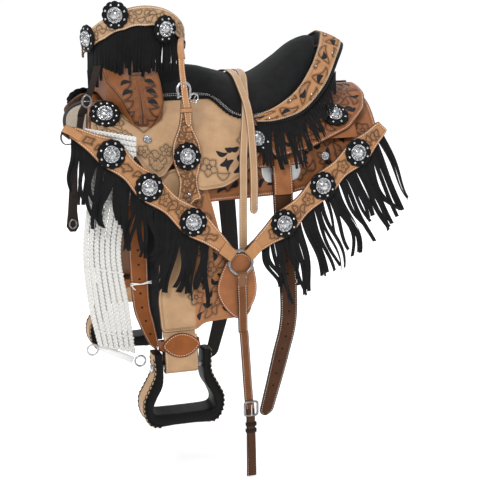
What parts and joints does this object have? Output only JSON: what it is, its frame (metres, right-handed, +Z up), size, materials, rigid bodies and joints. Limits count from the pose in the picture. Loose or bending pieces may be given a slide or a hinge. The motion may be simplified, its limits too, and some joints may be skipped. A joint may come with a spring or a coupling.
{
  "type": "western saddle",
  "caption": "Western barrel saddle with stirrups on swinging fenders, string cinch, fringed breast collar, tie-down strap, headstall and reins hung over it as one set.",
  "frame": {"origin": "underside apex of the arch that rests on the back, below the low point of the seat", "axes": "+Z up, +X towards the cantle (rear), +Y towards the off (right) side"},
  "size_m": [0.759, 0.5796, 0.991],
  "materials": {
    "suede": "soft black suede",
    "tan_leather": "light tan smooth skirting leather",
    "tooled_leather": "golden brown tooled leather",
    "brown_leather": "brown carved leather",
    "strap_leather": "oiled brown strap leather",
    "black_leather": "black leather",
    "fleece": "pale fleece",
    "wood": "rawhide covered wood",
    "cotton": "white cotton string",
    "white_plastic": "white smooth bar",
    "silver": "antiqued silver",
    "steel": "stainless steel",
    "crystal": "silver dome with crystals"
  },
  "bodies": {
    "saddle": {"skirt_left": "brown_leather", "skirt_right": "brown_leather", "fleece_left": "fleece", "fleece_right": "fleece", "tree_bars": "wood", "rigging_plates": "steel", "ground_seat": "wood", "seat_jockey_left": "tan_leather", "seat_jockey_right": "tan_leather", "front_jockey_left": "tan_leather", "front_jockey_right": "tan_leather", "rear_jockey_left": "brown_leather", "rear_jockey_right": "brown_leather", "fork_wood": "wood", "fork_cover": "brown_leather", "horn": "wood", "seat": "suede", "cantle_wood": "wood", "cantle_back": "brown_leather", "cantle_roll": "tooled_leather", "cantle_fringe": "suede", "saddle_rosettes": "black_leather", "saddle_conchos": "crystal"},
    "fender_left": {"fender_left": "brown_leather", "stirrup_leather_left": "strap_leather", "hobble_strap_left": "brown_leather"},
    "fender_right": {"fender_right": "brown_leather", "stirrup_leather_right": "strap_leather", "hobble_strap_right": "brown_leather"},
    "stirrup_left": {"stirrup_frame_left": "black_leather", "stirrup_bolt_left": "steel"},
    "stirrup_right": {"stirrup_frame_right": "black_leather", "stirrup_bolt_right": "steel"},
    "latigo_left": {"latigo_left": "strap_leather", "tie_strap": "black_leather"},
    "latigo_right": {"latigo_right": "strap_leather"},
    "flank_billet_left": {"flank_billet_left": "strap_leather"},
    "flank_billet_right": {"flank_billet_right": "strap_leather"},
    "cinch": {"cinch_strands": "cotton", "cinch_bar": "white_plastic", "cinch_rings": "steel"},
    "breast_collar": {"collar_wing_left": "tooled_leather", "collar_wing_right": "tooled_leather", "collar_ring": "silver", "ring_pad": "tooled_leather", "collar_rosettes": "black_leather", "collar_conchos": "crystal", "collar_fringe": "suede"},
    "tie_down": {"tie_down_strap": "tooled_leather", "tie_down_buckle": "silver"},
    "tie_down_tongue": {"tie_down_tongue": "silver"},
    "headstall": {"browband": "tan_leather", "crown_strap": "tan_leather", "brow_fringe": "suede", "headstall_rosettes": "black_leather", "headstall_conchos": "crystal", "cheek_strap_left": "tooled_leather", "cheek_strap_right": "tooled_leather", "cheek_buckles": "silver"},
    "reins": {"reins": "tan_leather"}
  },
  "joints": [
    {"name": "fender_left_swing", "type": "hinge", "parent": "saddle", "child": "fender_left", "pos_m": [-0.2, -0.19656, -0.13722], "axis": [0, -0.9848, 0.1736], "range_deg": [-20, 4]},
    {"name": "fender_right_swing", "type": "hinge", "parent": "saddle", "child": "fender_right", "pos_m": [-0.2, 0.19656, -0.13722], "axis": [0, -0.9848, -0.1736], "range_deg": [-20, 25]},
    {"name": "stirrup_left_swivel", "type": "hinge", "parent": "fender_left", "child": "stirrup_left", "pos_m": [-0.211, -0.25977, -0.49569], "axis": [1, 0, 0], "range_deg": [-40, 5]},
    {"name": "stirrup_right_swivel", "type": "hinge", "parent": "fender_right", "child": "stirrup_right", "pos_m": [-0.211, 0.25977, -0.49569], "axis": [1, 0, 0], "range_deg": [-30, 40]},
    {"name": "latigo_left_swing", "type": "hinge", "parent": "saddle", "child": "latigo_left", "pos_m": [-0.288, -0.20004, -0.108], "axis": [0, -1, 0], "range_deg": [-15, 3]},
    {"name": "latigo_right_swing", "type": "hinge", "parent": "saddle", "child": "latigo_right", "pos_m": [-0.288, 0.20004, -0.108], "axis": [0, -1, 0], "range_deg": [-15, 3]},
    {"name": "flank_billet_left_swing", "type": "hinge", "parent": "saddle", "child": "flank_billet_left", "pos_m": [0.028, -0.20216, -0.128], "axis": [0, -1, 0], "range_deg": [-10, 10]},
    {"name": "flank_billet_right_swing", "type": "hinge", "parent": "saddle", "child": "flank_billet_right", "pos_m": [0.028, 0.20216, -0.128], "axis": [0, -1, 0], "range_deg": [-10, 10]},
    {"name": "cinch_swing", "type": "hinge", "parent": "saddle", "child": "cinch", "pos_m": [-0.335, -0.2125, -0.024], "axis": [0, -1, 0], "range_deg": [-20, 1]},
    {"name": "breast_collar_lift", "type": "slide", "parent": "saddle", "child": "breast_collar", "axis": [0, -0.7071, 0.7071], "range_m": [0, 0.25]},
    {"name": "tie_down_swing", "type": "hinge", "parent": "breast_collar", "child": "tie_down", "pos_m": [-0.07789, -0.24423, -0.29276], "axis": [0.0508, -0.9929, 0.1075], "range_deg": [-3, 25]},
    {"name": "tie_down_tongue_lift", "type": "hinge", "parent": "tie_down", "child": "tie_down_tongue", "pos_m": [-0.061, -0.2664, -0.5955], "axis": [-1, 0, 0], "range_deg": [0, 80]},
    {"name": "headstall_lift", "type": "slide", "parent": "saddle", "child": "headstall", "axis": [0, 0, 1], "range_m": [0, 0.25]},
    {"name": "reins_lift", "type": "slide", "parent": "saddle", "child": "reins", "axis": [0, 0, 1], "range_m": [0, 0.3]}
  ]
}
